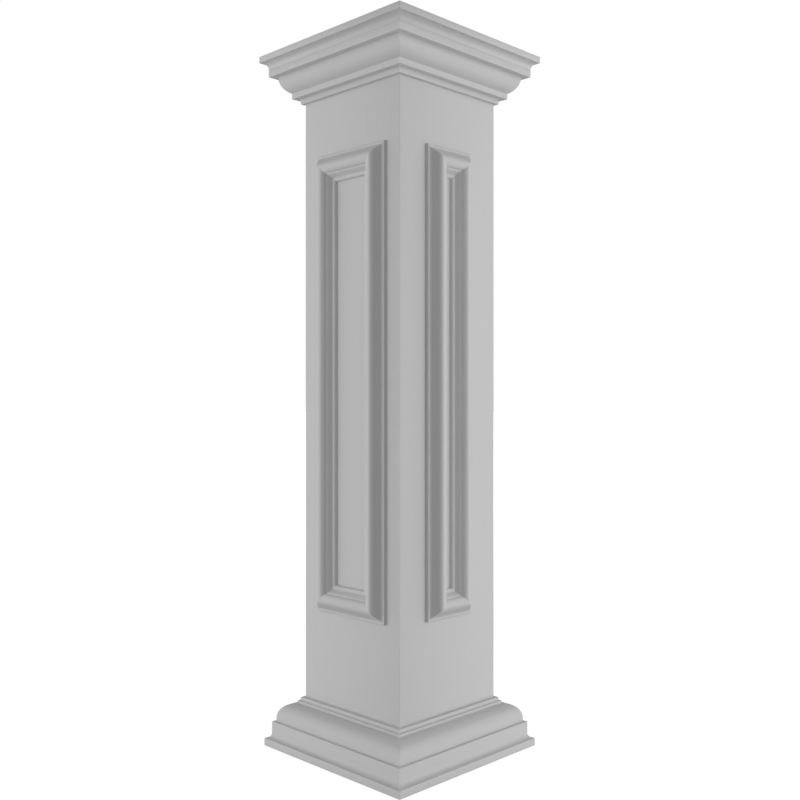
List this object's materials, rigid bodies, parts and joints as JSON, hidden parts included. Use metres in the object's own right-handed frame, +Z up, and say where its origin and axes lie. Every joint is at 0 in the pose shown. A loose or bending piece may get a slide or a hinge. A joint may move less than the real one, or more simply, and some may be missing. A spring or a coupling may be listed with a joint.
{
  "type": "newel post",
  "caption": "Square hollow box newel post with framed panels on its sides, a stepped crown with a flat coved cap, and a moulded base.",
  "frame": {"origin": "on the ground, at the middle of the post's underside", "axes": "+Z up along the post, -Y out of the front side with a wide panel frame, +X out of the right side with a narrow one"},
  "size_m": [0.3048, 0.3048, 1.0561],
  "materials": {
    "shaft_paint": "satin paint, light neutral grey",
    "moulding_paint": "satin paint, light neutral grey",
    "cap_paint": "satin paint, light neutral grey"
  },
  "bodies": {
    "root": {"cap_board": "cap_paint", "shaft_board_front": "shaft_paint", "crown_front": "moulding_paint", "base_mould_front": "moulding_paint", "panel_front_left_stile": "moulding_paint", "panel_front_top_rail": "moulding_paint", "panel_front_right_stile": "moulding_paint", "panel_front_bottom_rail": "moulding_paint", "shaft_board_right": "shaft_paint", "crown_right": "moulding_paint", "base_mould_right": "moulding_paint", "panel_right_left_stile": "moulding_paint", "panel_right_top_rail": "moulding_paint", "panel_right_right_stile": "moulding_paint", "panel_right_bottom_rail": "moulding_paint", "shaft_board_back": "shaft_paint", "crown_back": "moulding_paint", "base_mould_back": "moulding_paint", "panel_back_left_stile": "moulding_paint", "panel_back_top_rail": "moulding_paint", "panel_back_right_stile": "moulding_paint", "panel_back_bottom_rail": "moulding_paint", "shaft_board_left": "shaft_paint", "crown_left": "moulding_paint", "base_mould_left": "moulding_paint", "panel_left_left_stile": "moulding_paint", "panel_left_top_rail": "moulding_paint", "panel_left_right_stile": "moulding_paint", "panel_left_bottom_rail": "moulding_paint"}
  },
  "joints": []
}
